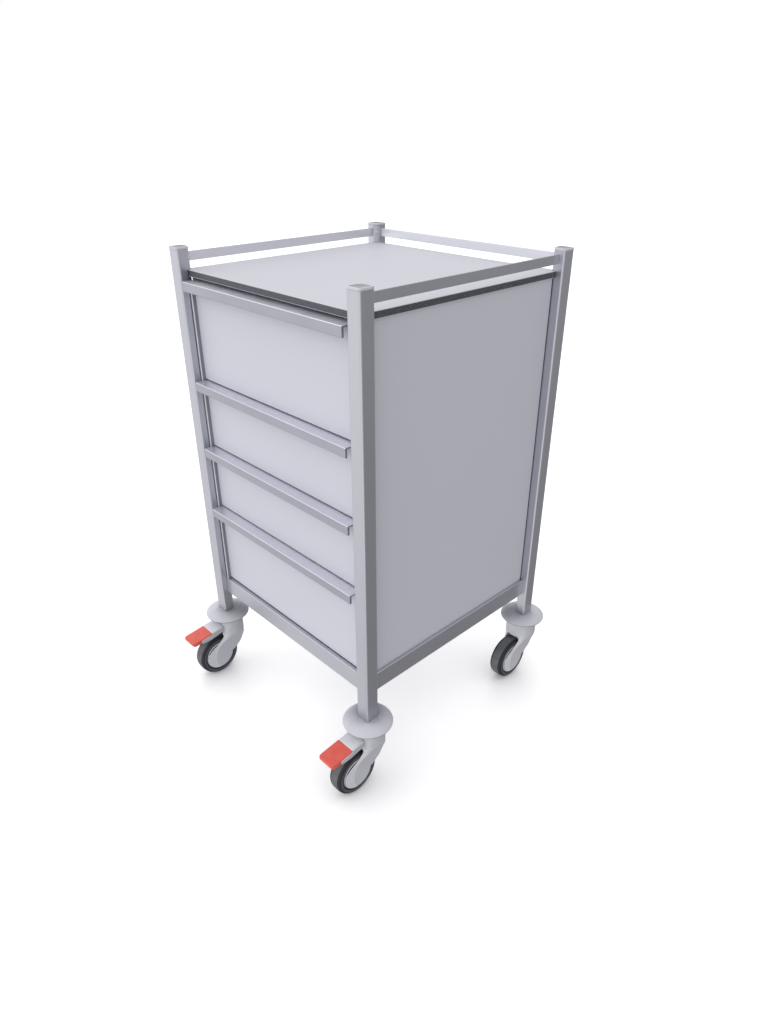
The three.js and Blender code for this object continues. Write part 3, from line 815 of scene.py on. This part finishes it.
def leg_outline():
    """The side of a fork leg, in Y and Z: it sweeps forward from the housing and ends round the axle."""
    eye = (-WHEEL_TRAIL, -AXLE_DROP)
    rear_angle, front_angle = -6, 104
    around = arc(eye, LEG_EYE, rear_angle, front_angle - 360, 44)
    rear, front = around[0], around[-1]
    hip, heel = (22.5, -54), (5, -110)
    points = [(-18, -40), (20, -40), hip]
    points += bezier(hip, (27, -78), (19, -97), heel, 12)
    points += bezier(heel, (1, -114), (rear[0] + 4, rear[1] + 1.5), rear, 6)
    points += around[1:]
    points += bezier(front, (front[0] + 6.8, front[1] + 1.7), (-43, -58), (-25, -54), 12)
    return points


def housing_field(z, radius):
    """The round housing under the bumper disc, with a collar that is a little wider."""
    housing = smooth_max(radius - HOUSING_RADIUS, HOUSING_BOTTOM - z, 5)
    housing = smooth_max(housing, z - HOUSING_TOP, 1.0)
    collar_middle = HOUSING_TOP - COLLAR_HALF
    collar = smooth_max(radius - COLLAR_RADIUS, np.abs(z - collar_middle) - COLLAR_HALF, 1.2)
    return smooth_min(housing, collar, 1.2)


HOLLOW_BACK = 4  # where the hollow starts, and where it is full
HOLLOW_FRONT = -10
HOLLOW_TOP = -60
HOLLOW_DEPTH = 0.9
HOLLOW_DEPTH_ADDED = 4  # how much deeper it gets towards the housing
SHOULDER = 8.5  # how much thicker a leg is where it leaves the housing
RIM_DROP = 0.9


def leg_field(side, across, y, z, radius, wheel):
    """A pair of legs. Each is a plate that thickens upwards, with a hollow ahead of its ridge, and its
    end reaches into the dish of the hub. across, radius and wheel are distances from the middle plane,
    the swivel axis and the axle."""
    ahead = np.hypot(y - RIDGE_Y, z - RIDGE_Z) - RIDGE_RADIUS
    depth = HOLLOW_DEPTH + HOLLOW_DEPTH_ADDED * ease(z, -92, -68)
    in_front = ease(y, HOLLOW_BACK, HOLLOW_FRONT) * ease(z, HOLLOW_TOP, HOLLOW_TOP - 14)
    hollow = in_front * ease(ahead, 0, 7) * depth
    rim_drop = RIM_DROP * ease(wheel, LEG_EYE - 4.2, LEG_EYE) * ease(z, -100, -110)
    outer = FLUSH + (LEG_OUTER - FLUSH) * ease(z, -112, -82) + SHOULDER * ease(z, -90, -54)
    outer = np.maximum(outer - hollow - rim_drop, LEG_INNER + LEG_SKIN)
    inner = LEG_INNER + (EYE_DEPTH - LEG_INNER) * ease(wheel, 31.2, 30.4)
    leg = smooth_max(side, smooth_max(across - outer, inner - across, 0.4), 0.9)
    widest = HOUSING_RADIUS + 0.6 + 60 * ease(z, HOUSING_BOTTOM, 2 * HOUSING_BOTTOM)
    return smooth_max(leg, radius - widest, 3)


POCKET_HALF = 15.5
POCKET_BACK = -11
POCKET_TOP = -26
ARM_ROOM_BACK = -24
ARM_ROOM_TOP = -30
ARM_ROOM_FOOT = -54.5
ARM_ROOM_SLOPE = 0.18


def lever_room(across, y, z, radius):
    """What is cut from a braked fork: a pocket for the root of the lever, and room for its arm."""
    pocket = np.maximum(np.maximum(across - POCKET_HALF, y - POCKET_BACK), z - POCKET_TOP)
    foot = ARM_ROOM_FOOT + (y + 30) * ARM_ROOM_SLOPE
    beside = np.maximum(across - LEVER_HALF - 1, HOUSING_RADIUS + CLEARANCE - radius)
    arm = np.maximum(np.maximum(beside, y - ARM_ROOM_BACK), np.maximum(z - ARM_ROOM_TOP, foot - z))
    return pocket, arm


def fork_mesh(braked):
    """A round housing that flows into two swept legs, with the axle between them. A braked one has the
    lever's pocket and pin."""
    side_of_leg = outline_field(leg_outline())

    def field(x, y, z):
        across = np.abs(x)
        radius = np.hypot(x, y)
        wheel = np.hypot(y + WHEEL_TRAIL, z + AXLE_DROP)
        leg = leg_field(side_of_leg(y, z), across, y, z, radius, wheel)
        shape = smooth_min(housing_field(z, radius), leg, 6)
        shape = smooth_max(shape, -np.maximum(across - LEG_INNER, wheel - WHEEL_ROOM), 1.0)
        axle = np.maximum(wheel - AXLE_RADIUS, across - FLUSH + 0.6)
        boss = smooth_max(wheel - BOSS_RADIUS, np.abs(across - FLUSH) - 0.35, 0.4)
        shape = np.minimum(smooth_min(shape, boss, 0.6), axle)
        shape = np.maximum(shape, -np.maximum(radius - SPIGOT_ROOM, SPIGOT_END - z))
        if braked:
            pocket, arm = lever_room(across, y, z, radius)
            shape = smooth_max(smooth_max(shape, -pocket, 0.8), -arm, 0.6)
            pin = np.maximum(np.hypot(y - PIVOT_Y, z - PIVOT_Z) - PIVOT_RADIUS, across - 17)
            shape = np.minimum(shape, pin)
        return shape

    kind = "braked" if braked else "plain"
    return implicit(f"castor_fork_{kind}", field, (-38, -82, -153), (38, 39, -12), 1.1)


def lever_mesh():
    """The arm: a flat top with rounded sides, hollow beneath, with the shoe that presses on the tyre."""
    body = outline_field(rounded([
        (-22, -32.5, 0), (-22, -48, 0), (-40, -50.4, 3), (-62, -55.2, 8), (-79, -56.2, 5), (-88, -54.5, 3.8),
        (-88, -45.2, 3), (-59.3, -41.6, 0.4), (-59.3, -37.4, 0.6),
    ]))
    root = outline_field([
        (-14, -40), (-14, -50), (-22, -54), (-40, -54), (-40, -35), (-30, -32.5), (-20, -34),
    ])
    shoe = outline_field([(-44, -46), (-44, -58.7), (-52, -59.4), (-60, -60.6), (-66, -62.1), (-66, -46)])

    def field(x, y, z):
        across = np.abs(x)
        arm = smooth_max(body(y, z), across - LEVER_HALF, 2.6)
        arm = smooth_max(arm, HOUSING_RADIUS + 1.5 - np.hypot(x, y), 0.4)
        hollow = smooth_max(body(y, z) + LEVER_WALL, across - LEVER_HALF + 2.8, 2)
        arm = smooth_max(arm, -np.maximum(hollow, z + 47.5 + (y + 34) * 0.12), 0.8)
        stem = smooth_max(root(y, z), across - 15, 1.5)
        pad = smooth_max(shoe(y, z), across - 12, 1.2)
        shape = smooth_min(smooth_min(arm, stem, 2), pad, 1.5)
        bore = PIVOT_RADIUS + CLEARANCE
        return np.maximum(shape, bore - np.hypot(y - PIVOT_Y, z - PIVOT_Z))

    return implicit("castor_brake_lever", field, (-23, -91, -66), (23, -11, -30), 0.9)


PEDAL_ROOT = -59
PEDAL_NOSE = -112


def pedal_mesh():
    """The red foot plate: it caps the end of the arm and has a thick rounded nose."""
    side = outline_field(rounded([
        (PEDAL_ROOT, -38, 0.8), (PEDAL_ROOT, -41.2, 0.5), (-88.4, -44.7, 0.2), (-88.4, -52, 0.8),
        (-106.5, -53, 2.5), (PEDAL_NOSE, -48.8, 2.2), (PEDAL_NOSE, -45.2, 1.6), (-109.5, -43.8, 1.5),
    ]))
    plan = outline_field(rounded([
        (-LEVER_HALF, PEDAL_ROOT, 1), (LEVER_HALF, PEDAL_ROOT, 1),
        (LEVER_HALF, PEDAL_NOSE, 8), (-LEVER_HALF, PEDAL_NOSE, 8),
    ], 8))

    def field(x, y, z):
        return smooth_max(side(y, z), plan(x, y), 1.3)

    return implicit("castor_brake_pedal", field, (-23, -116, -56), (23, -56, -35), 0.8)


def mirrored(half):
    """A closed profile from its points on one side of the middle."""
    return half + [(radius, -offset) for radius, offset in half[::-1]]


def hub_mesh():
    """A wheel centre with a deep flat dish on each side, inside a narrow rim."""
    half = [(5.3, 0), (5.3, 9.4), (5.9, 10), (30.6, 10), (31.6, 10.5), (31.9, 11.5), (32.1, 15)]
    half += [(32.8, 15.6), (34.3, 15.6), (34.9, 15.2), (35.2, 14.4), (35.2, 0)]
    return lathe("castor_hub", mirrored(half), "x", 96, closed=True, sharp=50)


def tyre_mesh():
    """A tyre with a groove round each side: grey sides, black shoulders and a grey, slightly round tread.
    The black of the shoulders is partly the groove's own dark and partly painted shade on the curve that
    turns down and out.
    """
    inside = [(35.5, 0), (35.5, 14.2), (36, 15.3), (36.9, 15.5), (37.3, 15), (37.8, 15)]
    side = [(38.3, 15.8), (39, 16.2), (43.4, 16.2)]
    # The shoulders' black is partly the groove's own dark and partly painted shade.
    shoulder = [(44, 15.9), (44.4, 15.2), (44.8, 15.1), (45.3, 15.2), (46.3, 14.9)]
    shoulder += [(47.4, 14), (48.4, 12.7), (49.1, 11)]
    tread = [(49.5, 9), (49.8, 6.8), (49.95, 3.6), (50, 0)]
    half = inside + side + shoulder + tread
    # The tread is coloured a lighter grey than the shoulders.
    grey, black, tread_grey = [0], [1], [2]
    materials = black * len(inside) + grey * len(side) + black * len(shoulder) + tread_grey * (len(tread) - 1)
    materials = materials + tread_grey + materials[::-1] + black
    return lathe("castor_tyre", mirrored(half), "x", 120, materials, closed=True, sharp=50)


def add_castors():
    """Four castors that share their meshes. The front two have a brake lever with a foot plate."""
    bumper, hub, tyre = bumper_mesh(), hub_mesh(), tyre_mesh()
    forks = {True: fork_mesh(True), False: fork_mesh(False)}
    lever, pedal = lever_mesh(), pedal_mesh()
    rubber = [rubber_side, rubber_black, rubber_tread]
    for corner in CORNERS:
        x, y = post_middle(corner)
        foot = (x, y, FOOT)
        axle = (x, y - WHEEL_TRAIL, FOOT - AXLE_DROP)
        prefix = f"castor_{corner}"
        braked = corner.startswith("front")
        parts = [
            ("bumper", bumper, "frame", "castor_plastic", [bumper_plastic, bumper_lip], foot),
            ("fork", forks[braked], prefix, "castor_plastic", [fork_plastic], foot),
            ("hub", hub, f"{prefix}_wheel", "hub_plastic", [hub_plastic], axle),
            ("tyre", tyre, f"{prefix}_wheel", "tyre", rubber, axle),
        ]
        if braked:
            brake = f"brake_{corner}"
            parts += [
                ("brake_lever", lever, brake, "castor_plastic", [lever_plastic], foot),
                ("brake_pedal", pedal, brake, "pedal_red", [pedal_red], foot),
            ]
        for part, mesh, body, slot, finish, place in parts:
            node = f"{prefix}_{part}"
            piece = add_piece(f"{node}_moulded", mesh, body, finish, [node], place)
            piece.visible_glossy = part != "brake_pedal"


# ---------------------------------------------------------------- CAD nodes that stay


def finish_nodes():
    """Materials and softened edges for the CAD nodes whose shape is right."""
    finishes = [
        ("bottom_rail_", aluminium, 0), ("gallery_rail_right", aluminium, 0.3),
        ("gallery_rail_left", gallery_aluminium, 0.3), ("gallery_rail_rear", gallery_aluminium, 0.3),
        ("side_panel_", laminate, 0.5), ("back_panel", laminate, 0.5), ("base_panel", laminate, 0.5),
        ("runner_", runner_steel, 0.3),
    ]
    for drawer in DRAWERS:
        finishes += [(f"{drawer}_front", laminate, 0.7), (f"{drawer}_tray", tray_plastic, 0.8)]
    for name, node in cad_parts.items():
        for start, material, bevel in finishes:
            if name.startswith(start):
                node.data.materials.clear()
                node.data.materials.append(material)
                if bevel:
                    soften(node, bevel)


# ---------------------------------------------------------------- stage


FLOOR_REACH = 30000
FLOOR_GLOW = 0.36
FLOOR_SHADE_REACH = 200
FLOOR_SHADE_POWER = 2.0


def add_floor():
    """A wide pale floor. It glows faintly, and less so in its corners with the object, so that it looks
    white with a soft shade round each wheel."""
    corners = [(x * FLOOR_REACH, y * FLOOR_REACH, 0) for x, y in ((-1, -1), (1, -1), (1, 1), (-1, 1))]
    mesh = mesh_of("floor", corners, [(0, 1, 2, 3)])
    floor = bpy.data.objects.new("floor", mesh)
    bpy.context.scene.collection.objects.link(floor)
    nodes = Nodes("pale_floor")
    tone = nodes.ramp(nodes.noise(1.5, 2), linear((249, 249, 250)), linear((251, 251, 252)))
    nodes.link(tone, nodes.shader.inputs["Base Color"])
    openness = nodes.maths("POWER", nodes.openness(FLOOR_SHADE_REACH), FLOOR_SHADE_POWER)
    nodes.link(nodes.product(openness, FLOOR_GLOW), nodes.shader.inputs["Emission Strength"])
    nodes.set(Roughness=0.35, IOR=1.6, Emission_Color=(1, 1, 1, 1))
    mesh.materials.append(nodes.material)
    floor.visible_diffuse = False
    floor.visible_glossy = False


LIGHT_LEVEL = 0.79
LIGHT_SLOPE = (-0.30, -0.25, 0.356)
LOW_PANEL = Vector((0.6, -0.66, -0.45)).normalized()
LOW_PANEL_LEVEL = 0.75
LOW_PANEL_FOCUS = 14


def add_studio_light():
    """A white surround whose light rises evenly towards the front, the left and above, with a soft low
    panel of light ahead of the near corner. It looks plain white."""
    world = bpy.data.worlds.new("studio")
    bpy.context.scene.world = world
    world.use_nodes = True
    nodes = Wiring(world.node_tree)
    direction = nodes.add("ShaderNodeTexCoord").outputs["Generated"]

    def along(axis):
        node = nodes.add("ShaderNodeVectorMath", operation="DOT_PRODUCT")
        node.inputs[1].default_value = axis
        nodes.link(direction, node.inputs[0])
        return node.outputs["Value"]

    panel = nodes.maths("POWER", nodes.maths("MAXIMUM", along(LOW_PANEL), 0.0), LOW_PANEL_FOCUS)
    level = nodes.maths("ADD", along(LIGHT_SLOPE), LIGHT_LEVEL)
    level = nodes.maths("ADD", level, nodes.product(panel, LOW_PANEL_LEVEL))
    lighting = nodes.tree.nodes["Background"]
    seen = nodes.add("ShaderNodeBackground")
    for background in (lighting, seen):
        background.inputs["Color"].default_value = (1, 1, 1, 1)
    nodes.link(level, lighting.inputs["Strength"])
    mix = nodes.add("ShaderNodeMixShader")
    nodes.link(nodes.add("ShaderNodeLightPath").outputs["Is Camera Ray"], mix.inputs["Fac"])
    nodes.link(lighting.outputs["Background"], mix.inputs[1])
    nodes.link(seen.outputs["Background"], mix.inputs[2])
    nodes.link(mix.outputs["Shader"], nodes.tree.nodes["World Output"].inputs["Surface"])
    bpy.context.scene.view_settings.view_transform = "Standard"


CAMERA_PLACE = (1026.95, -912.5, 1187.0)
CAMERA_YAW = 46.14
CAMERA_PITCH = 29.07
CAMERA_LENS = 25.19
CAMERA_SHIFT = (-0.0031, 0.0056)


def add_camera():
    """The camera stands ahead of the near corner and looks down on the worktop."""
    data = bpy.data.cameras.new("camera")
    data.lens = CAMERA_LENS
    data.shift_x, data.shift_y = CAMERA_SHIFT
    camera = bpy.data.objects.new("camera", data)
    camera.location = [c * MM for c in CAMERA_PLACE]
    camera.rotation_euler = Euler((math.radians(90 - CAMERA_PITCH), 0, math.radians(CAMERA_YAW)))
    bpy.context.scene.collection.objects.link(camera)
    bpy.context.scene.camera = camera


add_camera()
add_floor()
add_studio_light()
add_posts()
add_worktop()
add_handles()
add_edge_trims()
add_frame_screws()
add_drawer_screws()
add_castors()
finish_nodes()
